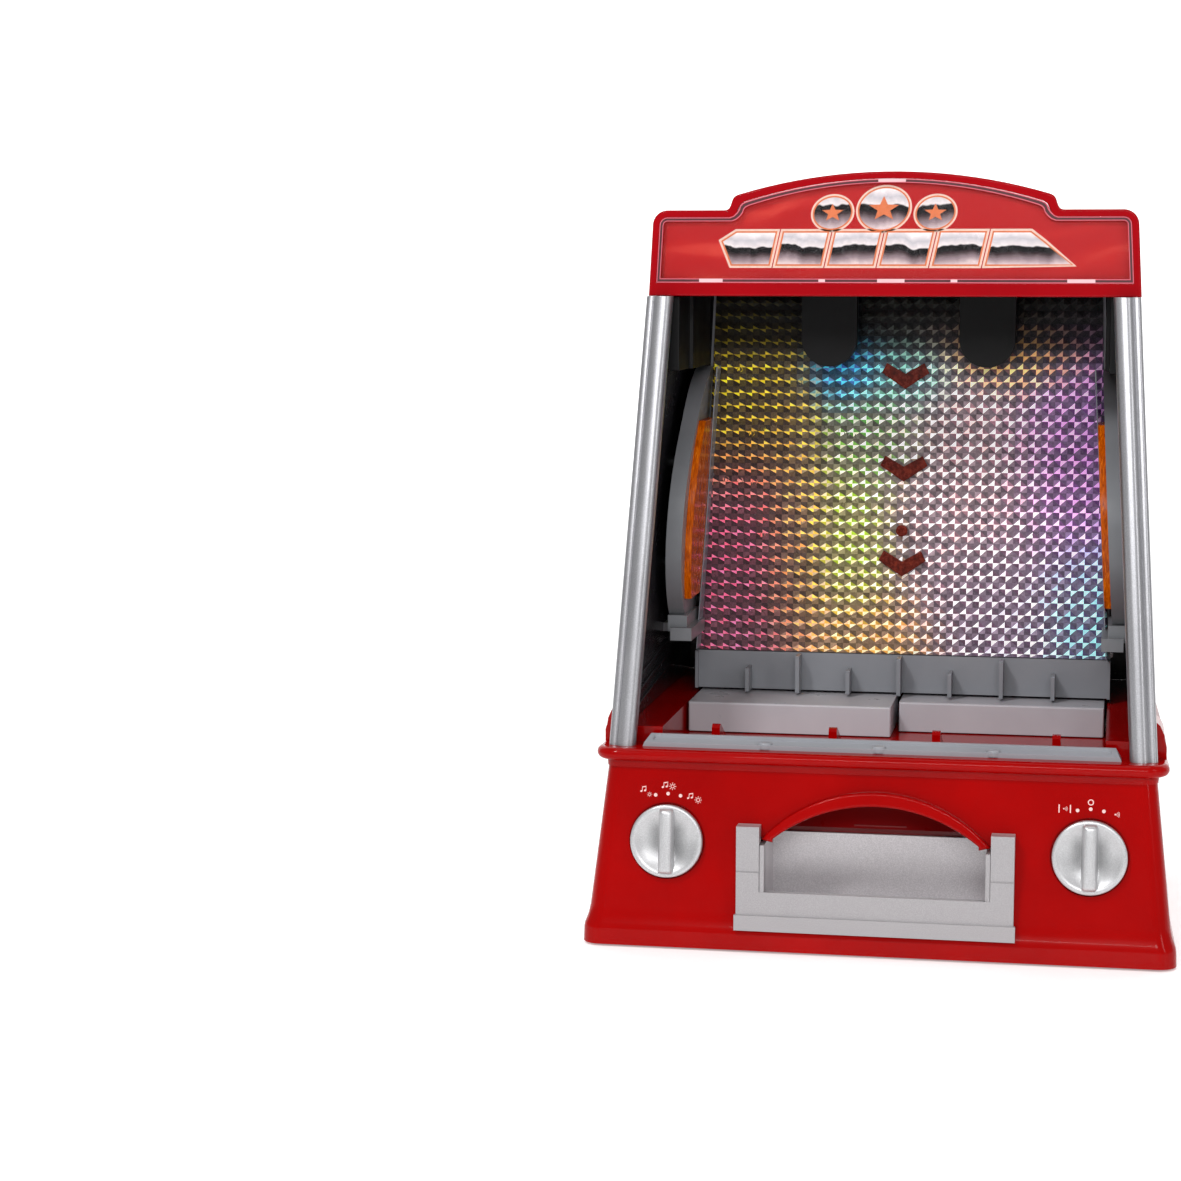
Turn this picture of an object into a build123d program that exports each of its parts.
from build123d import *
import math
import os

# Table-top coin pusher amusement machine.
# Frame: +X to the right of a player, +Y to the back, +Z up, millimetres.
# Origin: centre of the footprint, on the surface the feet stand on.

# ------------------------------------------------------------------ driving dimensions
BASE_W2 = 135.0        # half width of the skirt at the foot of the base
BASE_YF = -118.0       # front of the skirt
BASE_YB = 120.0        # back of the skirt
BODY_TOP_Z = 82.3      # joint between lower base shell and deck shell
BODY_TOP_W2 = 125.2    # half width of the lower shell at that joint
BODY_TOP_YF = -107.9
BODY_TOP_YB = 110.0
SKIRT_H = 12.0         # height of the rounded skirt
PLAN_TAPER = 0.03      # how much each side draws in per millimetre towards the back
WALL = 2.5             # shell wall
RIM_R = 2.9            # radius of the bead round the deck shell
RIM_W2 = 127.4
RIM_YF = -110.1
RIM_YB = 111.4
RIM_Z = 88.6
RING_TOP = 91.3        # flat on which the posts stand
DECK_Z = 84.8          # coin deck surface
CURB_Z = 98.5          # red curbs beside the deck
POST_Z0, POST_Z1 = RING_TOP, 297.5
POST_BOT = (118.3, -100.3)   # post centre at its foot
POST_TOP = (106.4, -70.9)    # post centre at its head
POST_W = 12.4
BOARD_Y, BOARD_Z = 20.0, 120.0   # foot of the peg board's front face
BOARD_LEAN = 3.5       # degrees, top leaning back
BOARD_W2_BOT, BOARD_W2_TOP = 101.0, 94.1
BOARD_TOP_Z = 322.0
PUSH_TOP = 99.7        # top of the two coin pushers
PUSH_BOT = 85.2
PUSH_X0, PUSH_X1 = 1.3, 100.0
PUSH_MID = -11.0       # front face when both pushers are level
PUSH_OFF = 9.0         # offset of each pusher at rest, one forward and one back
LANE_PITCH = 25.0
HEAD_Z0 = 297.5
HEAD_YF = -66.0
HEAD_D = 14.0
KNOB_X, KNOB_Z, KNOB_R = 95.5, 49.3, 16.75
FRONT_SLOPE = (BODY_TOP_YF + 116.2) / (BODY_TOP_Z - SKIRT_H)   # dy/dz of the front wall
FRONT_LEAN = math.degrees(math.atan(FRONT_SLOPE))
ROCK_Y = 48.0          # rocker pivot
ROCK_ARM = 45.0
CRANK_Y = 76.0
GEAR_M, GEAR_T, PIN_T = 1.0, 36, 12
GEAR_C = 24.35         # gear centre distance
CHUTE_X = {-1: -36.4, 1: 40.4}   # the two chutes hang a little to the right of centre
CHUTE_PIV_Z = 318.0

os.makedirs("parts", exist_ok=True)


def front_y(z):
    """y of the lower shell's outer front wall at height z."""
    return -116.2 + (z - SKIRT_H) * FRONT_SLOPE


def bx(x0, x1, y0, y1, z0, z1):
    return Pos((x0 + x1) / 2, (y0 + y1) / 2, (z0 + z1) / 2) * Box(x1 - x0, y1 - y0, z1 - z0)


def cz(x, y, z0, z1, r):
    return Pos(x, y, (z0 + z1) / 2) * Cylinder(r, z1 - z0)


def cy(x, z, y0, y1, r):
    return Pos(x, (y0 + y1) / 2, z) * Rot(90, 0, 0) * Cylinder(r, y1 - y0)


def cx(y, z, x0, x1, r):
    return Pos((x0 + x1) / 2, y, z) * Rot(0, 90, 0) * Cylinder(r, x1 - x0)


def rrect(z, x2, yf, yb, r):
    """rounded outline of the base at height z; x2 is its half width at the front of the skirt."""
    a = x2 - PLAN_TAPER * (yf - BASE_YF)
    b = x2 - PLAN_TAPER * (yb - BASE_YF)
    f = make_face(Polyline((-a, yf), (a, yf), (b, yb), (-b, yb), close=True))
    return Pos(0, 0, z) * fillet(f.vertices(), r)


def prism_xz(pts, y0, y1):
    """Polygon given in X and Z, extruded from y0 to y1."""
    w = Polyline(*[(x, 0, z) for x, z in pts], close=True)
    f = make_face(w)
    s = extrude(f, amount=(y1 - y0), dir=(0, 1, 0))
    return Pos(0, y0, 0) * s


def prism_yz(pts, x0, x1):
    """Polygon given in Y and Z, extruded from x0 to x1."""
    w = Polyline(*[(0, y, z) for y, z in pts], close=True)
    f = make_face(w)
    s = extrude(f, amount=(x1 - x0), dir=(1, 0, 0))
    return Pos(x0, 0, 0) * s


def mx(s):
    return mirror(s, about=Plane.YZ)


def flat(*shapes):
    out = []
    for s in shapes:
        out += list(s.solids())
    return Compound(out) if len(out) > 1 else out[0]


NODES = {}


def put(name, *shapes):
    NODES[name] = flat(*shapes)


# plane of the front wall at the knobs: local z points out of the wall
def wall_plane(x, z):
    return Plane(origin=(x, front_y(z), z), x_dir=(1, 0, 0),
                 z_dir=(0, -math.cos(math.radians(FRONT_LEAN)), math.sin(math.radians(FRONT_LEAN))))


# plane of the peg board's front face: local x = +X, local y = up the board, local z = out to the player
BP = Plane(origin=(0, BOARD_Y, BOARD_Z), x_dir=(1, 0, 0),
           z_dir=(0, -math.cos(math.radians(BOARD_LEAN)), math.sin(math.radians(BOARD_LEAN))))


def board_y(z):
    return BOARD_Y + (z - BOARD_Z) * math.tan(math.radians(BOARD_LEAN))


def bloc(z):
    """local height on the board of a point at height z."""
    return (z - BOARD_Z) / math.cos(math.radians(BOARD_LEAN))


# ------------------------------------------------------------------ base lower shell
# outer skin: upright skirt with a rounded top, a hollow flare, then the leaning wall
SECTIONS = [(1.0, BASE_W2, BASE_YF, BASE_YB, 9.0), (7.6, 134.8, -117.85, 119.85, 8.9), (9.7, 134.4, -117.5, 119.5, 8.8),
            (11.3, 133.8, -117.0, 119.0, 8.7), (13.0, 133.15, -116.5, 118.5, 8.5), (15.0, 132.65, -116.05, 118.0, 8.3),
            (18.0, 132.05, -115.55, 117.5, 8.1), (BODY_TOP_Z, BODY_TOP_W2, BODY_TOP_YF, BODY_TOP_YB, 8.0)]
body = loft([rrect(*q) for q in SECTIONS], ruled=True)
inner = loft([rrect(0.0, 131.2, -115.0, 117.0, 6.0),
              rrect(BODY_TOP_Z + 0.1, BODY_TOP_W2 - WALL, BODY_TOP_YF + WALL, BODY_TOP_YB - WALL, 6.0)])
shell = body - inner
# arch over the prize drawer: opening and raised brow
arch_in = make_face([
    Line((-46.5, 0, 52.5), (-53.2, 0, 52.5)), Line((-53.2, 0, 52.5), (-53.2, 0, 11.8)),
    Line((-53.2, 0, 11.8), (53.2, 0, 11.8)), Line((53.2, 0, 11.8), (53.2, 0, 52.5)),
    Line((53.2, 0, 52.5), (46.5, 0, 52.5)), ThreePointArc((46.5, 0, 52.5), (0, 0, 68.7), (-46.5, 0, 52.5))])
arch_cut = Pos(0, -125, 0) * extrude(arch_in, amount=25, dir=(0, 1, 0))
brow = make_face([
    ThreePointArc((-51.8, 0, 52.2), (0, 0, 75.1), (51.8, 0, 52.2)), Line((51.8, 0, 52.2), (46.5, 0, 51.0)), Line((46.5, 0, 51.0), (46.5, 0, 52.5)),
    ThreePointArc((46.5, 0, 52.5), (0, 0, 68.7), (-46.5, 0, 52.5)), Line((-46.5, 0, 52.5), (-46.5, 0, 51.0)), Line((-46.5, 0, 51.0), (-51.8, 0, 52.2))])
brow = Pos(0, -125, 0) * extrude(brow, amount=16.5, dir=(0, 1, 0))
brow_keep = prism_yz([(front_y(50) - 4.2, 50), (front_y(80) - 4.2, 80), (front_y(80) + 1.0, 80), (front_y(50) + 1.0, 50)], -60, 60)
brow = brow & brow_keep
try:
    brow = fillet(brow.edges().filter_by(lambda e: e.center().Y < front_y(e.center().Z) - 3.5), 1.2)
except Exception:
    pass
shell = shell - arch_cut + brow
for sx in (-1, 1):
    wp = wall_plane(sx * KNOB_X, KNOB_Z)
    shell -= wp * Pos(0, 0, -0.6) * Cylinder(KNOB_R + 0.8, 1.4)      # shallow recess for the knob
    shell -= wp * Cylinder(3.06, 12)                                 # shaft hole
    boss = wp * Pos(0, 0, -4.3) * (Cylinder(6.0, 4.0) - Cylinder(3.06, 5))
    shell += boss
# small dot marks above each knob
for sx in (-1, 1):
    for a in (-15.5, 0, 15.5):
        wp = wall_plane(sx * KNOB_X, KNOB_Z)
        shell -= wp * Pos(21.6 * math.sin(math.radians(a)), 21.6 * math.cos(math.radians(a)), 0) * Cylinder(0.9, 0.5)
# screw bosses inside the shell, taken by the bottom plate's screws
BOSS_XY = [(-112, -92), (112, -92), (-107, 94), (107, 94)]
for x, y in BOSS_XY:
    web = bx(min(x, 1.165 * x), max(x, 1.165 * x), y - 1, y + 1, 3.4, 30)
    shell += cz(x, y, 3.4, 30, 4.0) + (web & loft([rrect(0.0, 131.9, -115.6, 117.6, 6.0), rrect(BODY_TOP_Z, BODY_TOP_W2 - 1, BODY_TOP_YF + 1, BODY_TOP_YB - 1, 6.0)]))
    shell -= cz(x, y, 3.0, 16, 1.5)
put("base_lower_shell", shell)

# ------------------------------------------------------------------ bottom plate, feet, battery box
plate = extrude(rrect(1.2, 130.4, -114.0, 116.0, 6.0), amount=2.0)
plate -= bx(-35, 35, 12, 70, 0, 4)                                   # battery opening
for i in range(7):                                                   # speaker slots
    w = 20 - abs(i - 3) * 4
    plate -= bx(-80 - w, -80 + w, 38.2 + (i - 3) * 6, 41.2 + (i - 3) * 6, 0, 4)
for x, y in BOSS_XY:
    plate -= cz(x, y, 0, 5, 1.9)
FEET_XY = [(-117, -103), (117, -103), (-111, 106), (111, 106)]
for x, y in FEET_XY:
    plate -= cz(x, y, 0, 2.2, 7.0)
put("base_bottom_plate", plate)
put("rubber_feet", *[fillet(cz(x, y, 0, 2.2, 7.0).edges().group_by(Axis.Z)[0], 0.6) for x, y in FEET_XY])
put("base_screws", *[cz(x, y, 0.4, 1.2, 3.0) + cz(x, y, 1.2, 12, 1.5) - bx(x - 2.2, x + 2.2, y - 0.4, y + 0.4, 0, 0.8)
                     - bx(x - 0.4, x + 0.4, y - 2.2, y + 2.2, 0, 0.8) for x, y in BOSS_XY])
box = bx(-37, 37, 10, 72, 3.2, 21) - bx(-35, 35, 12, 70, 3.0, 19.2)
for x in (-16, 0, 16):
    box += bx(x - 0.5, x + 0.5, 12, 70, 12, 19.2)
put("battery_box", box)
CELLS = [-24.6, -8.2, 8.2, 24.6]
put("batteries", *[cy(x, 11.2, 15.5, 64.5, 7.05) + cy(x, 11.2, 64.5, 66, 2.6) for x in CELLS])
door = bx(-34.7, 34.7, 12.3, 69.7, 1.2, 3.1)
for i in range(6):
    door -= bx(-12, 12, 56 + i * 2, 57 + i * 2, 1.0, 1.6)
door -= cz(0, 20, 0, 5, 1.6)
put("battery_door", door)
spk = cz(-80, 39.7, 3.2, 6, 29) - cz(-80, 39.7, 3.0, 4.4, 25) + cz(-80, 39.7, 6, 12, 20) + cz(-80, 39.7, 12, 20, 13)
spk += cz(-80, 39.7, 3.4, 4.5, 8)
put("speaker", spk)
pcb = bx(48, 118, 10, 70, 11, 12.6)
for x, y in ((52, 14), (114, 14), (52, 66), (114, 66)):
    pcb += cz(x, y, 3.2, 11, 2.5)
pcb += bx(70, 84, 30, 44, 12.6, 14.6) + bx(92, 100, 50, 62, 12.6, 15) + cz(60, 30, 12.6, 23, 4) + cz(60, 42, 12.6, 20, 3.2)
pcb += bx(104, 114, 22, 50, 12.6, 19) + bx(56, 66, 56, 62, 12.6, 18)
put("main_pcb", pcb)

# ------------------------------------------------------------------ deck shell
ring = loft([rrect(BODY_TOP_Z, 125.6, -108.3, 110.4, 8.0), rrect(RING_TOP, 126.2, -108.8, 110.9, 8.0)])
bead_path = rrect(RIM_Z, RIM_W2, RIM_YF, RIM_YB, 8.5).face().outer_wire()
bead_plane = Plane(origin=(0, RIM_YF, RIM_Z), x_dir=(0, 1, 0), z_dir=(1, 0, 0))
bead = sweep(bead_plane * Circle(RIM_R), path=bead_path)
deck = ring + bead + extrude(rrect(RIM_Z - 2.2, RIM_W2, RIM_YF, RIM_YB, 8.5), amount=RING_TOP - RIM_Z + 2.2)
# side curbs; a rounded shoulder stands up behind each post and holds the side panel
curb = prism_xz([(101.4, BODY_TOP_Z), (125.4, BODY_TOP_Z), (127.8, 87.0), (128.9, 91.0), (128.7, 95.5), (127.9, CURB_Z), (101.4, CURB_Z)], -89.5, 106.0)
lip = prism_xz([(120.9, CURB_Z - 1), (127.9, CURB_Z - 1), (127.2, 102.0), (125.4, 106.0), (123.6, 107.6), (121.6, 107.2), (120.9, 105.0)], -89.5, -58.0)
lip = lip & prism_yz([(-89.5, 90), (-89.5, 110), (-72.0, 110), (-66.0, 107), (-61.0, 103), (-58.0, 97.6), (-58.0, 90)], 110, 135)
curb += lip
curb = curb & extrude(rrect(80, 129.3, -112.0, 112.5, 8.5), amount=40)
curb = curb - prism_xz([(118.2 + 0.1, CURB_Z - 2.0), (121.0, CURB_Z - 2.0), (121.0, 120), (118.3 - 0.0578 * 21.5, 120)], -91, 103.2)
deck += curb + mx(curb)
pocket = bx(-101.4, 101.4, -91.5, 104.0, DECK_Z, 120)
deck -= pocket
gap = bx(-99.5, 99.5, -91.5, -72.0, 70, DECK_Z + 1)                  # win gap, open to the drawer
deck -= gap
for x in (-79.0, -24.0, 24.0, 79.0):                                 # fins at the win edge
    fin = prism_yz([(-72, DECK_Z - 1), (-71.6, 95.6), (-70.6, 96.9), (-68.8, 97.3), (-67.2, 96.8), (-41.0, DECK_Z), (-41.0, DECK_Z - 1)], x - 1.9, x + 1.9)
    deck += fin
put("base_deck_shell", deck)

# ------------------------------------------------------------------ front trim strip: a shallow slanting tray with three bosses
def strip_top(y):
    return 93.4 + (y + 102.6) * 0.32


strip = prism_yz([(-102.6, RING_TOP), (-102.6, strip_top(-102.6)), (-94.0, strip_top(-94.0)), (-94.0, RING_TOP)], -108.5, 108.5)
for sx in (-1, 1):
    strip -= prism_xz([(sx * 109, 80), (sx * 109, 99), (sx * 104.2, 99), (sx * 107.9, 93.0), (sx * 108.6, 91.2)], -110, -90)
tray_cut = Pos(0, -98.35, 88) * extrude(RectangleRounded(208.4, 6.9, 2.9), amount=12)
tray_cut = tray_cut & prism_yz([(-103, strip_top(-103) - 1.3), (-93, strip_top(-93) - 1.3), (-93, 110), (-103, 110)], -110, 110)
strip -= tray_cut
for x in (-52.0, 0, 51.6):
    strip += Pos(x, -98.9, 92.5) * Cylinder(4.5, 1.6)
    boss_s = Pos(x, -99.7, 92.9) * Cylinder(3.2, 3.2)
    strip += fillet(boss_s.edges().group_by(Axis.Z)[-1], 0.9)
put("front_trim_strip", strip)

# ------------------------------------------------------------------ win chute under the gap
f_out = loft([Pos(0, -84, BODY_TOP_Z - 0.2) * Rectangle(204, 38), Pos(0, -97.5, 53.5) * Rectangle(108.4, 24)])
f_in = loft([Pos(0, -85.5, BODY_TOP_Z + 0.2) * Rectangle(200, 37), Pos(0, -98.6, 53.2) * Rectangle(105.2, 22.8)])
ramp = f_out - f_in - bx(-120, 120, -125, -101.9, 40, 90)
ramp += bx(-58, 58, -81.6, -79.4, 30, 54.5) + bx(-12, 12, -86.4, -80, 53.5, 55)
ramp = ramp.solids().sort_by(SortBy.VOLUME)[-1] if len(ramp.solids()) > 1 else ramp
put("win_chute_ramp", ramp)

# ------------------------------------------------------------------ prize drawer
frame_f = bx(-63.4, 63.4, -120.0, -100, 10.7, 17.8) + bx(-62.6, 62.6, -118.9, -100, 17.8, 58.6)
frame_f -= bx(-52.1, 52.1, -130, -90, 28.6, 70)
cutter = prism_yz([(front_y(5) - 0.5, 5), (front_y(70) - 0.5, 70), (-60, 70), (-60, 5)], -80, 80)
frame_f -= cutter
frame_f -= bx(-70, 70, -118.4, -90, 5, 12.5) + bx(-70, 70, -117.5, -100, 12.4, 18.2)
frame_f -= bx(-70, 70, -119.4, -118.4, 37.5, 38.3)
tray = bx(-51.9, 51.9, -118.4, -82.0, 12.7, 50.2) - bx(-49.9, 49.9, -130.0, -84.0, 14.7, 60)
tray_front = bx(-51.9, 51.9, -118.0, -116.0, 12.7, 28.6)
drawer = frame_f + tray + tray_front
put("prize_drawer", drawer)
guides = [bx(sx * 55.6 - 2.2, sx * 55.6 + 2.2, -108, -60, 3.2, 30) - bx(-53.0, 53.0, -120, -50, 12.4, 60) for sx in (-1, 1)]
guides2 = [bx(min(sx * 40, sx * 54), max(sx * 40, sx * 54), -108, -60, 3.2, 12.3) for sx in (-1, 1)]
put("drawer_guides", guides[0] + guides2[0], guides[1] + guides2[1])

# ------------------------------------------------------------------ corner posts
vx = POST_TOP[0] - POST_BOT[0]
vy = POST_TOP[1] - POST_BOT[1]
vz = POST_Z1 - POST_Z0
vl = math.sqrt(vx * vx + vy * vy + vz * vz)
sec = Pos(-1.6, 0, 0) * RectangleRounded(9.2, 9.0, 4.2) + Pos(4.0, 0.9, 0) * RectangleRounded(4.4, 6.6, 2.0) + Pos(0.5, 2.9, 0) * RectangleRounded(9.6, 4.2, 1.0)
post = Pos(POST_BOT[0], POST_BOT[1], POST_Z0) * extrude(sec, amount=vl, dir=(vx, vy, vz))
post = post & bx(60, 160, -140, 0, POST_Z0, POST_Z1)
put("post_right", post)
put("post_left", mx(post))

# ------------------------------------------------------------------ side panels
PANEL_T = 2.4


def panel_x(z):
    """inner face of the side panel at height z."""
    return 118.3 - 0.0578 * (z - CURB_Z)


def post_back(z):
    t = (z - POST_Z0) / vz
    return POST_BOT[1] + vy * t + 5.6


prof = [(panel_x(CURB_Z - 1.8), CURB_Z - 1.8), (panel_x(CURB_Z - 1.8) + PANEL_T, CURB_Z - 1.8), (panel_x(HEAD_Z0) + PANEL_T, HEAD_Z0), (panel_x(HEAD_Z0), HEAD_Z0)]
panel = prism_xz(prof, -100, 110)
edge = prism_yz([(-85.5, CURB_Z - 2), (post_back(CURB_Z + 12), CURB_Z + 12), (post_back(HEAD_Z0), HEAD_Z0 + 1), (91.0, HEAD_Z0 + 1), (102.9, CURB_Z - 2)], 90, 130)
panel = panel & edge
slab = prism_xz([(panel_x(90) - 1.2, 90), (panel_x(90) + 1.0, 90), (panel_x(200) + 1.0, 200), (panel_x(200) - 1.2, 200)], -100, 110)
for i in range(3):                                                   # slanting ribs low on the inner face
    y0, z0 = -62 + i * 2.0, 103.5 + i * 7.2
    rib = prism_yz([(y0, z0), (y0 + 72, z0 + 6), (y0 + 72, z0 + 8.0), (y0, z0 + 2.0)], 90, 130) & slab
    panel += rib
put("side_panel_right", panel)
put("side_panel_left", mx(panel))

# ------------------------------------------------------------------ playfield
h_top = bloc(BOARD_TOP_Z)


def trap(z0, z1, w0, w1):
    return make_face(Polyline((-w0, z0), (w0, z0), (w1, z1), (-w1, z1), close=True))


board = BP * Pos(0, 0, -3.9) * extrude(trap(bloc(120.25), h_top, BOARD_W2_BOT + 1.2, BOARD_W2_TOP + 1.2), amount=2.6)
put("playfield_board", board)
holo = BP * Pos(0, 0, -1.3) * extrude(trap(0.3, h_top, BOARD_W2_BOT, BOARD_W2_TOP), amount=0.5)
put("hologram_sheet", holo)
PEGS = [(305, 490), (333, 505), (360, 523), (386, 540), (513, 555), (645, 542), (677, 525), (711, 507), (848, 507), (882, 523), (915, 541),
        (1045, 551), (1170, 534), (1197, 518), (1225, 500), (1252, 485), (780, 616), (393, 685), (420, 672), (448, 660), (585, 665), (610, 673),
        (637, 681), (664, 687), (899, 687), (925, 678), (950, 668), (978, 661), (1110, 657), (522, 765), (1038, 765), (290, 790), (328, 800),
        (365, 803), (402, 806), (1162, 806), (1200, 800), (1238, 796), (1272, 788), (385, 955), (425, 940), (455, 925), (490, 915), (520, 905),
        (560, 885), (597, 873), (633, 860), (668, 848), (900, 848), (935, 862), (970, 873), (1005, 885), (1038, 897), (1072, 910), (1115, 925),
        (1148, 937), (1185, 950), (520, 980), (1046, 980), (678, 1007), (888, 1007), (300, 1050), (1275, 1045), (785, 1080), (395, 1139),
        (660, 1139), (908, 1139), (1175, 1139), (525, 1104), (1045, 1099)]
peg_xy = []
for a, b in PEGS:
    peg_xy.append(((a - 782) * 0.194, bloc(212.6 - (b - 765) * 0.196)))
sheet = extrude(trap(0.3, h_top, BOARD_W2_BOT, BOARD_W2_TOP), amount=0.8)
pegs = [Pos(px_, py_, 0.7) * extrude(Circle(1.25), amount=6.0) for px_, py_ in peg_xy]
put("peg_sheet", BP * Pos(0, 0, -0.8) * (sheet + pegs))


def chevron(zc):
    c = bloc(zc)
    return Polyline((-11.7, c + 0.9), (-9.2, c + 5.8), (0, c + 0.5), (9.2, c + 5.8), (11.7, c + 0.9), (0, c - 7.0), close=True)


put("chevron_lenses", *[BP * extrude(make_face(chevron(z)), amount=1.2) for z in (258.2, 212.6, 165.8)])
put("centre_peg", BP * Pos(0, bloc(181.6), 0) * (Cylinder(2.85, 7.0, align=(Align.CENTER, Align.CENTER, Align.MIN))))

# lane panel below the board, with three tall and four short dividers
lane = bx(-102.4, 102.4, BOARD_Y, BOARD_Y + 2.4, 101.0, 119.8)
for i in range(-3, 4):
    top = 119.4 if i % 2 == 0 else 112.8
    x = i * LANE_PITCH
    lane += prism_yz([(BOARD_Y + 0.2, 101.0), (BOARD_Y - 11.6, 101.0), (BOARD_Y - 12.0, 101.6), (BOARD_Y - 12.0, top - 0.6), (BOARD_Y - 11.4, top), (BOARD_Y + 0.2, top)], x - 0.95, x + 0.95)
for sx in (-1, 1):
    lane += bx(min(sx * 101.0, sx * 102.4), max(sx * 101.0, sx * 102.4), BOARD_Y - 3, BOARD_Y + 1, 101.0, 119.8)
put("lane_divider_panel", lane)

# ------------------------------------------------------------------ side light housings and orange lenses


def yz_face(edges):
    return make_face(edges)


POD_W = 7.7            # width of a light housing
POD_LEAN = 0.0578      # its inner face leans in with the side panel


def pod_x(z):
    """inner face of a light housing at height z."""
    return 100.0 - POD_LEAN * (z - 190)


def slant(d0, d1):
    """leaning slab between the offsets d0 and d1 from the inner face."""
    return prism_xz([(pod_x(120) + d0, 120), (pod_x(120) + d1, 120), (pod_x(270) + d1, 270), (pod_x(270) + d0, 270)], -120, 60)


pod = make_face([Spline((0, board_y(262) - 2.0, 262.0), (0, 4.5, 252.5), (0, -16, 234), (0, -33.5, 212), (0, -40, 190), (0, -37.5, 170), (0, -28.5, 154), (0, -14.0, 141.0)),
                 Line((0, -14.0, 141.0), (0, board_y(138) - 2.0, 134.0)), Line((0, board_y(138) - 2.0, 134.0), (0, board_y(262) - 2.0, 262.0))])
pod = Pos(90, 0, 0) * extrude(pod, amount=30, dir=(1, 0, 0))
inside = prism_xz([(90, 90), (panel_x(90) - 0.05, 90), (panel_x(310) - 0.05, 310), (90, 310)], -120, 120)
pod = pod & slant(0, POD_W) & inside & bx(90, 130, -120, 60, 120, 262.4)
lens_f = make_face([ThreePointArc((0, -8.0, 236.5), (0, -29.0, 190), (0, -19.5, 150.0)), Line((0, -19.5, 150.0), (0, board_y(150) - 3.5, 150.0)),
                    Line((0, board_y(150) - 3.5, 150.0), (0, board_y(236) - 3.5, 236.5)), Line((0, board_y(236) - 3.5, 236.5), (0, -8.0, 236.5))])
pod -= (Pos(88, 0, 0) * extrude(offset(lens_f, 0.05), amount=30, dir=(1, 0, 0))) & slant(-1, 2.6)
lamp = (Pos(88, 0, 0) * extrude(lens_f, amount=30, dir=(1, 0, 0))) & slant(-3.3, 2.55)
ledge = bx(98.0, 108.4, -25, board_y(130) - 2.2, 130.2, 136.4)
pegs_out = cx(8.0, 215, 104, 117, 2.4) + cx(8.0, 165, 104, 117, 2.4) + bx(104, 117, 2, 14, 131.2, 135.4)
pod2 = (pod + ledge + bx(101.0, 110.4, -20, board_y(134) - 2.5, 134, 142) + pegs_out) & inside
put("light_housing_right", pod2)
put("light_housing_left", mx(pod2))
put("light_lens_right", lamp)
put("light_lens_left", mx(lamp))
gus = (bx(97.0, 112, -60, board_y(264) - 2.2, 262.6, HEAD_Z0 - 0.2)) & inside
gus = gus - bx(90, 99.0, -70, -30, 250, 300)
put("corner_gusset_right", gus)
put("corner_gusset_left", mx(gus))

# ------------------------------------------------------------------ header


def header_face(o=0.0, z0=HEAD_Z0):
    """header outline inset by o."""
    s = 1.7 / 32.5
    r = max(7.0 - o, 2.0)
    top = 337.0 - o
    xa = 112.8 - o
    xb = 111.0 - o
    left = [
        Line((-(xa - (z0 - HEAD_Z0) * s), 0, z0), (-(xb - 0.02), 0, top - r)),
        ThreePointArc((-(xb - 0.02), 0, top - r), (-(xb - r * 0.2929), 0, top - r * 0.2929), (-(xb - r), 0, top)),
        Line((-(xb - r), 0, top), (-(77.5 - o * 0.75), 0, top)),
        Spline((-(77.5 - o * 0.75), 0, top), (-(74.6 - o * 0.9), 0, top + 2.2), (-(73.4 - o), 0, top + 5.4), (-(70.8 - o), 0, top + 7.2),
               tangents=[(1, 0, 0), (1, 0, 0.35)]),
    ]
    arc = ThreePointArc((-(70.8 - o), 0, top + 7.2), (0, 0, 354.4 - o), ((70.8 - o), 0, top + 7.2))
    right = [mirror(e, about=Plane.YZ) for e in left]
    bot = Line((-(xa - (z0 - HEAD_Z0) * s), 0, z0), ((xa - (z0 - HEAD_Z0) * s), 0, z0))
    return make_face(left + [arc] + right + [bot])


outer_f = header_face(0.0)
inner_f = header_face(3.2, HEAD_Z0 + 6.0)
bezel = Pos(0, HEAD_YF, 0) * (extrude(outer_f, amount=HEAD_D, dir=(0, 1, 0)))
bezel = fillet(bezel.edges().filter_by(lambda e: abs(e.center().Y - HEAD_YF) < 0.01), 0.9)
bezel -= Pos(0, HEAD_YF - 1, 0) * extrude(inner_f, amount=HEAD_D + 2, dir=(0, 1, 0))
put("header_bezel", bezel)
lensf = header_face(3.2, HEAD_Z0 + 6.0)
lens = Pos(0, HEAD_YF + 0.9, 0) * extrude(lensf, amount=1.6, dir=(0, 1, 0))
rimf = header_face(4.8, HEAD_Z0 + 7.6)
lens += Pos(0, HEAD_YF + 0.3, 0) * (extrude(header_face(3.2, HEAD_Z0 + 6.0), amount=0.8, dir=(0, 1, 0)) - Pos(0, -1, 0) * extrude(rimf, amount=4, dir=(0, 1, 0)))
put("header_lens", lens)
sign = Pos(0, HEAD_YF + 2.7, 0) * extrude(header_face(3.4, HEAD_Z0 + 6.2), amount=0.8, dir=(0, 1, 0))
put("header_sign_panel", sign)
led_board = bx(-92, 92, HEAD_YF + 9, HEAD_YF + 10.6, 310, 330)
put("header_led_board", led_board, *[])
put("header_leds", *[cy(x, 320, HEAD_YF + 6.0, HEAD_YF + 9, 2.4) for x in (-80, -48, -16, 16, 48, 80)])

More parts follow.
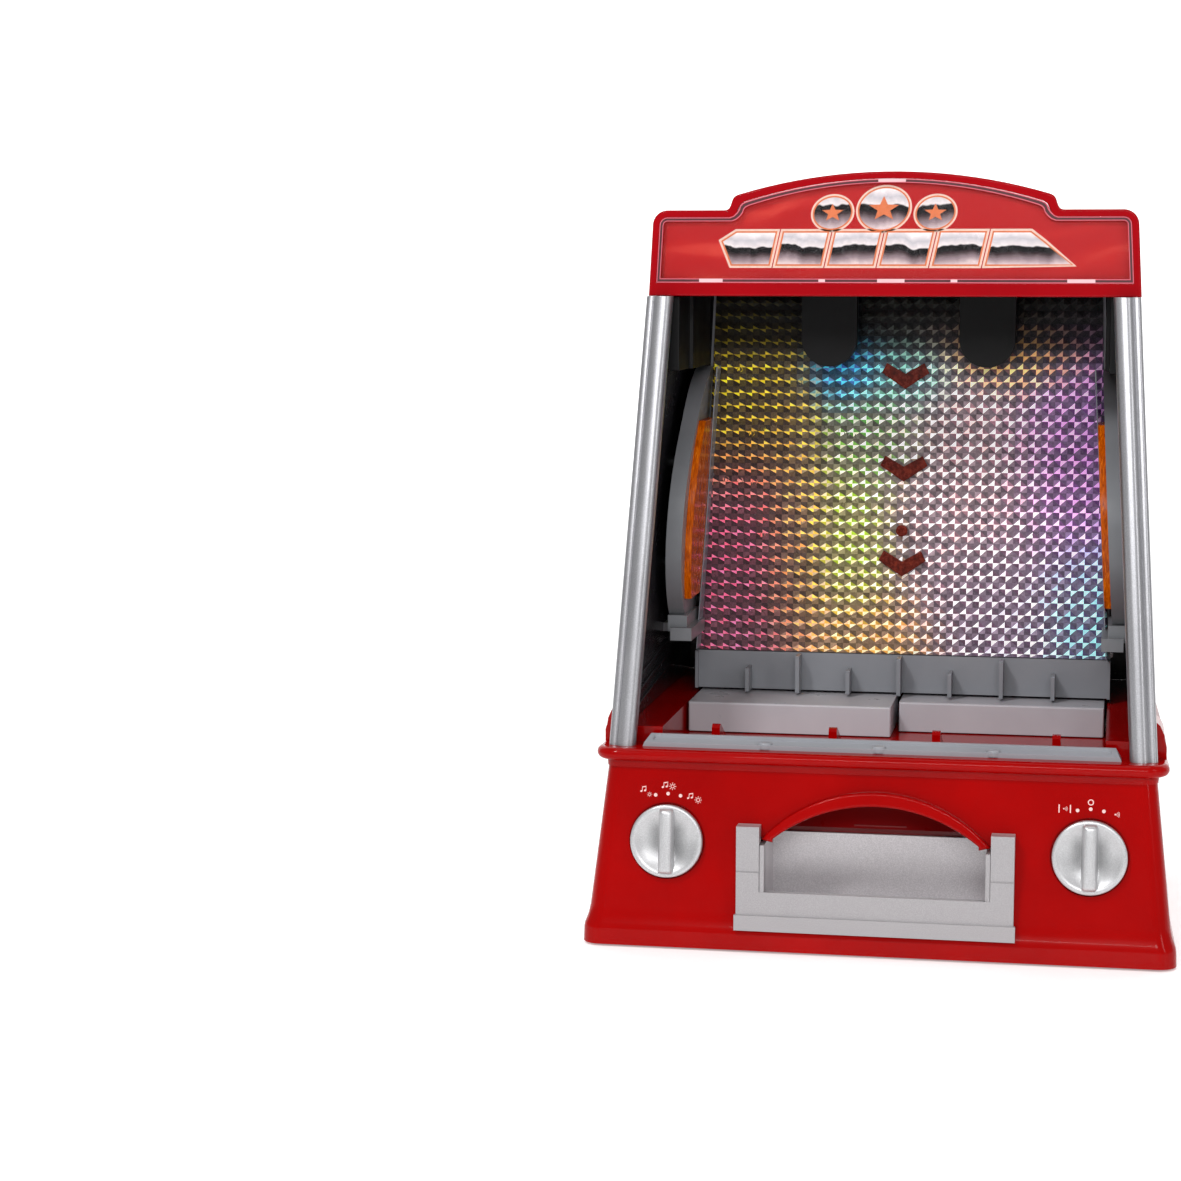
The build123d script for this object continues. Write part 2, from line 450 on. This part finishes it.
# roof cap behind the header
RC_Y0, RC_Y1 = HEAD_YF + HEAD_D, 95.0
cap_o = make_face([Line((-112.8, 0, HEAD_Z0), (-111.1, 0, 327.0)), ThreePointArc((-111.1, 0, 327.0), (-109.0, 0, 331.9), (-104.1, 0, 334.0)),
                   Line((-104.1, 0, 334.0), (104.1, 0, 334.0)), ThreePointArc((104.1, 0, 334.0), (109.0, 0, 331.9), (111.1, 0, 327.0)),
                   Line((111.1, 0, 327.0), (112.8, 0, HEAD_Z0)), Line((112.8, 0, HEAD_Z0), (-112.8, 0, HEAD_Z0))])
cap = Pos(0, RC_Y0, 0) * extrude(cap_o, amount=RC_Y1 - RC_Y0, dir=(0, 1, 0))
cap = fillet(cap.edges().filter_by(lambda e: abs(e.center().Y - RC_Y1) < 0.01 and e.center().Z > 310), 3.0)
cap -= bx(-110.0, 110.0, RC_Y0 + 2.2, RC_Y1 - 2.4, HEAD_Z0 - 1, 326.0)
cap -= bx(-108.0, 108.0, RC_Y0 + 2.2, RC_Y1 - 2.4, 325.0, 331.5)
for sx in (-1, 1):                                                   # coin slots with a raised lip
    cap += fillet(bx(CHUTE_X[sx] - 26, CHUTE_X[sx] + 26, 7.0, 26.0, 333.0, 335.6).edges().filter_by(Axis.Z), 4)
    cap -= bx(CHUTE_X[sx] - 22.5, CHUTE_X[sx] + 22.5, 10.6, 22.4, 325, 340)
put("roof_cap", cap)
CY0, CY1 = 12.5, 20.5
brackets = []
for sx in (-1, 1):
    for y0, y1 in ((CY0 - 3.2, CY0 - 0.6), (CY1 + 0.6, CY1 + 3.2)):
        b = bx(CHUTE_X[sx] - 6, CHUTE_X[sx] + 6, y0, y1, CHUTE_PIV_Z - 5.5, 331.5)
        b -= cy(CHUTE_X[sx], CHUTE_PIV_Z, y0 - 1, y1 + 1, 2.05)
        brackets.append(b)
put("chute_brackets", *brackets)


def chute(sx):
    x = CHUTE_X[sx]
    s = bx(x - 13.5, x + 13.5, CY0, CY1, 276.0, 338.0) + cy(x, 276.0, CY0, CY1, 13.5)
    s = s - bx(x - 12.2, x + 12.2, CY0 + 1.8, CY1 - 1.8, 250, 345)
    s = fillet(s.edges().filter_by(lambda e: e.center().Z > 337.5 and abs(e.length - 27) < 0.5), 0.8)
    s += cy(x, CHUTE_PIV_Z, CY0 - 3.0, CY0 + 0.1, 2.0) + cy(x, CHUTE_PIV_Z, CY1 - 0.1, CY1 + 3.0, 2.0)
    return s


put("coin_chute_left", chute(-1))
put("coin_chute_right", chute(1))

# ------------------------------------------------------------------ back cover
bc = prism_yz([(103.71, RING_TOP + 0.05), (106.31, RING_TOP + 0.05), (94.4, HEAD_Z0 - 0.2), (91.8, HEAD_Z0 - 0.2)], -125, 125)
bc = bc & prism_xz([(-101.2, RING_TOP), (101.2, RING_TOP), (101.2, CURB_Z + 0.1), (panel_x(CURB_Z) + 2.2, CURB_Z + 0.1), (panel_x(HEAD_Z0) + 2.2, HEAD_Z0), (-(panel_x(HEAD_Z0) + 2.2), HEAD_Z0), (-(panel_x(CURB_Z) + 2.2), CURB_Z + 0.1), (-101.2, CURB_Z + 0.1)], 80, 120)
slab2 = prism_yz([(105.0, CURB_Z), (107.2, CURB_Z), (96.0, HEAD_Z0), (93.8, HEAD_Z0)], -125, 125)
for i in range(9):                                                   # vent louvres
    bc += (bx(-40, 40, 90, 110, 222 + i * 6, 224.4 + i * 6) & slab2)
for x in (-84, 84):
    bc += (bx(x - 1.2, x + 1.2, 90, 112, 110, 285) & slab2)
SCREWS = [(-102, 112), (102, 112), (-97, 200), (97, 200), (-94, 286), (94, 286)]


def back_y(z):
    return 105.9 - (z - (CURB_Z - 1.6)) * (11.5 / (HEAD_Z0 - 0.2 - CURB_Z + 1.6))


for x, z in SCREWS:
    bc -= cy(x, z, 80, 120, 1.7)
put("back_cover", bc)
put("back_cover_screws", *[cy(x, z, back_y(z) + 0.25, back_y(z) + 1.6, 3.0) + cy(x, z, back_y(z) - 8, back_y(z) + 0.1, 1.5)
                           - bx(x - 2.2, x + 2.2, back_y(z) + 0.9, back_y(z) + 2, z - 0.4, z + 0.4)
                           - bx(x - 0.4, x + 0.4, back_y(z) + 0.9, back_y(z) + 2, z - 2.2, z + 2.2) for x, z in SCREWS])

# ------------------------------------------------------------------ pushers
TH0 = math.asin(PUSH_OFF / ROCK_ARM)
PIN_DX = ROCK_ARM * math.cos(TH0)


def pusher(y_front, y_pin):
    """right-hand pusher: hollow block with a tail that carries the rocker slot."""
    p = bx(PUSH_X0, PUSH_X1, y_front, y_front + 48, PUSH_BOT, PUSH_TOP)
    p = fillet(p.edges().filter_by(lambda e: abs(e.center().Y - y_front) < 0.01 and e.center().Z > PUSH_BOT + 1), 1.0)
    p -= bx(PUSH_X0 + 2, PUSH_X1 - 2, y_front + 2, y_front + 46, PUSH_BOT - 1, PUSH_TOP - 2.2)
    for x in (34, 67):
        p += bx(x - 0.8, x + 0.8, y_front + 1.5, y_front + 46.5, PUSH_BOT + 0.6, PUSH_TOP - 2)
    p += bx(34, 54, y_front + 47, y_pin + 8, PUSH_TOP - 5.2, PUSH_TOP)
    p -= Pos(PIN_DX - 0.3, y_pin, PUSH_TOP - 2) * Box(9.0, 4.6, 12)
    return p


YL = PUSH_MID - PUSH_OFF
YR = PUSH_MID + PUSH_OFF
PINL_Y = ROCK_Y - PUSH_OFF
PINR_Y = ROCK_Y + PUSH_OFF
put("pusher_right", pusher(YR, PINR_Y))
put("pusher_left", mx(pusher(YL, PINL_Y)))

# ------------------------------------------------------------------ rocker, crank gear, pinion, motor
ROCK_Z0, ROCK_Z1 = 102.5, 106.0
arm = Pos(0, 0, (ROCK_Z0 + ROCK_Z1) / 2) * Box(2 * ROCK_ARM, 8.0, ROCK_Z1 - ROCK_Z0)
arm += cz(-ROCK_ARM, 0, ROCK_Z0, ROCK_Z1, 4.0) + cz(ROCK_ARM, 0, ROCK_Z0, ROCK_Z1, 4.0) + cz(0, 0, ROCK_Z0, ROCK_Z1, 6.5)
tail = bx(-6.5, 6.5, 0, 40, ROCK_Z0, ROCK_Z1) + cz(0, 40, ROCK_Z0, ROCK_Z1, 6.5)
arm += tail
arm -= bx(-2.6, 2.6, 17.5, 39, ROCK_Z0 - 1, ROCK_Z1 + 1) + cz(0, 17.5, ROCK_Z0 - 1, ROCK_Z1 + 1, 2.6) + cz(0, 39, ROCK_Z0 - 1, ROCK_Z1 + 1, 2.6)
arm -= cz(0, 0, ROCK_Z0 - 1, ROCK_Z1 + 1, 2.05)
pins = [cz(sx * ROCK_ARM, 0, 96.0, ROCK_Z1, 2.0) for sx in (-1, 1)]
arm -= cz(-ROCK_ARM, 0, 90, 120, 2.0) + cz(ROCK_ARM, 0, 90, 120, 2.0)
rock_loc = Pos(0, ROCK_Y, 0) * Rot(0, 0, math.degrees(TH0))
put("rocker_arm", rock_loc * arm)
put("rocker_pins", *[rock_loc * p for p in pins])


def gear_face(teeth, add, ded, thin, phase=0.0):
    """involute spur gear outline, module GEAR_M, 20 degree pressure angle, a tooth centred on +X turned by phase."""
    rp = GEAR_M * teeth / 2
    rb = rp * math.cos(math.radians(20))
    ra, rf = rp + add, rp - ded
    half = (math.pi / 2 / teeth) - thin / (2 * rp)
    inv = lambda a: math.tan(a) - a
    pts = []
    for k in range(teeth):
        c = 2 * math.pi * k / teeth + phase
        side = []
        r0 = max(rb, rf)
        for j in range(7):
            r = r0 + (ra - r0) * j / 6
            a = math.acos(min(1.0, rb / r))
            t = half + inv(math.radians(20)) - inv(a)
            side.append((r, t))
        step = math.pi / teeth
        if rf < rb:
            side.insert(0, (rf, side[0][1]))
        left = [(r, c - t) for r, t in side]
        right = [(r, c + t) for r, t in reversed(side)]
        pts += [(rf, c - step)] + left + right
    return make_face(Polyline(*[(r * math.cos(a), r * math.sin(a)) for r, a in pts], close=True))


GZ0, GZ1 = 107.2, 112.2
# the pinion sits on the -X side of the crank gear; a tooth of the gear points at a gap of the pinion
gear = extrude(gear_face(GEAR_T, 0.85, 1.25, 0.22, 0.0), amount=GZ1 - GZ0)
gear = Pos(0, CRANK_Y, GZ0) * gear
gear -= cz(0, CRANK_Y, 100, 120, 2.05)
gear += cz(0, CRANK_Y, GZ1, 113.4, 5.0) - cz(0, CRANK_Y, 100, 120, 2.05)
for a in (60, 120, 240, 300):
    gear -= cz(10.5 * math.cos(math.radians(a)), CRANK_Y + 10.5 * math.sin(math.radians(a)), 100, 111, 3.2)
# crank pin, 7 mm off centre, at the turn that matches the pushers' rest position
CR = 7.0
ca = math.asin(max(-1, min(1, -(28 * math.tan(TH0)) / CR)))
cpx, cpy = CR * math.sin(ca), CRANK_Y + CR * math.cos(ca)
gear -= cz(cpx, cpy, 100, 120, 1.5)
put("crank_gear", gear)
put("crank_pin", cz(cpx, cpy, 106.5, GZ1 - 0.5, 1.5) + cz(cpx, cpy, 106.5, 107.15, 2.2))
pin_x = -GEAR_C
pinion = Pos(pin_x, CRANK_Y, GZ0) * extrude(gear_face(PIN_T, 0.85, 1.25, 0.22, math.pi / PIN_T), amount=GZ1 - GZ0)
pinion += cz(pin_x, CRANK_Y, GZ1 - 0.5, 126, 1.5)
put("drive_pinion", pinion)
mp = bx(-68, 68, 38, 102, 114.0, 116.6)
mp = fillet(mp.edges().filter_by(Axis.Z), 5)
mp -= cz(pin_x, CRANK_Y, 110, 120, 4.0)
for x, y in ((-62, 60), (62, 60), (-62, 96), (62, 96)):
    mp += cz(x, y, DECK_Z, 114.0, 3.2)
mp -= cz(0, ROCK_Y, 110, 120, 2.0) + cz(0, CRANK_Y, 110, 120, 2.0)
put("mechanism_plate", mp)
put("mechanism_axles", cz(0, ROCK_Y, 101.0, 117.4, 2.0) + cz(0, ROCK_Y, 101.0, 102.2, 3.6) + cz(0, ROCK_Y, 116.6, 117.8, 3.6),
    cz(0, CRANK_Y, 106.4, 117.4, 2.0) + cz(0, CRANK_Y, 106.3, 107.0, 3.2) + cz(0, CRANK_Y, 116.6, 117.8, 3.6))
motor = bx(pin_x - 12, pin_x + 12, CRANK_Y - 10, CRANK_Y + 16, 116.6, 138) - cz(pin_x, CRANK_Y, 110, 126.4, 1.56)
motor = fillet(motor.edges().filter_by(Axis.Z).group_by(Axis.X)[0], 2.0)
motor += cz(pin_x, CRANK_Y + 3, 137.9, 160, 10.0) + cz(pin_x, CRANK_Y + 3, 159.9, 162, 4.0)
put("gear_motor", motor)

# ------------------------------------------------------------------ knobs and their slide switches


def knob(sx):
    wp = wall_plane(sx * KNOB_X, KNOB_Z)
    k = Cylinder(KNOB_R, 2.6, align=(Align.CENTER, Align.CENTER, Align.MIN))
    k = fillet(k.edges().group_by(Axis.Z)[-1], 0.9)
    k = Pos(0, 0, 0.6) * k
    dome = Pos(0, 0, 3.0) * Cylinder(15.2, 1.4, align=(Align.CENTER, Align.CENTER, Align.MIN))
    k += fillet(dome.edges().group_by(Axis.Z)[-1], 1.0)
    bar = Pos(0, 0, 2.0) * Box(5.2, 31.0, 4.45, align=(Align.CENTER, Align.CENTER, Align.MIN))
    bar = fillet(bar.edges().group_by(Axis.Z)[-1], 1.2)
    # dished half moons each side of the grip bar
    for s in (-1, 1):
        half = Pos(s * 8.4, 0, 6.1) * Sphere(6.9)
        k -= scale(half, (0.78, 1.7, 0.6)) if False else Pos(s * 7.9, 0, 11.4) * Rot(90, 0, 0) * Cylinder(8.6, 22)
    k += bar
    k += Pos(0, 0, -9.0) * Cylinder(3.0, 9.9, align=(Align.CENTER, Align.CENTER, Align.MIN))
    k += Pos(0, 0, -8.9) * Cylinder(5.0, 1.6, align=(Align.CENTER, Align.CENTER, Align.MIN))
    k += Pos(0, 4.0, -8.15) * Box(5.0, 9.4, 1.5)
    k += Pos(0, 8.0, -11.8) * Cylinder(1.2, 4.0, align=(Align.CENTER, Align.CENTER, Align.MIN))
    return wp * k


def switch_case(sx):
    wp = wall_plane(sx * KNOB_X, KNOB_Z)
    s = Pos(0, 8.0, -17.2) * Box(22, 10, 4.0) - Pos(0, 8.0, -16.2) * Box(14.4, 6.4, 3.2)
    for dx in (-8.5, 8.5):
        s += Pos(dx, 8.0, -10.6) * Box(3.4, 8, 9.4)
    return wp * s


def slider(sx):
    wp = wall_plane(sx * KNOB_X, KNOB_Z)
    s = Pos(0, 8.0, -12.6) * Box(7.0, 6.0, 3.0) + Pos(0, 8.0, -15.2) * Box(4.0, 5.6, 2.6)
    s -= Pos(0, 8.0, -11.6) * Box(3.0, 4.4, 3.0)
    return wp * s


for nm, sx in (("left", -1), ("right", 1)):
    put("knob_" + nm, knob(sx))
    put("switch_housing_" + nm, switch_case(sx))
    put("switch_slider_" + nm, slider(sx))

# ------------------------------------------------------------------ write one STEP file per node
for name, shape in NODES.items():
    export_step(shape, "parts/" + name + ".step")
print(len(NODES), "nodes; board normal lean", BOARD_LEAN, "front wall lean", round(FRONT_LEAN, 3))
print("rocker rest angle deg", round(math.degrees(TH0), 3), "crank pin", round(cpx, 3), round(cpy, 3))
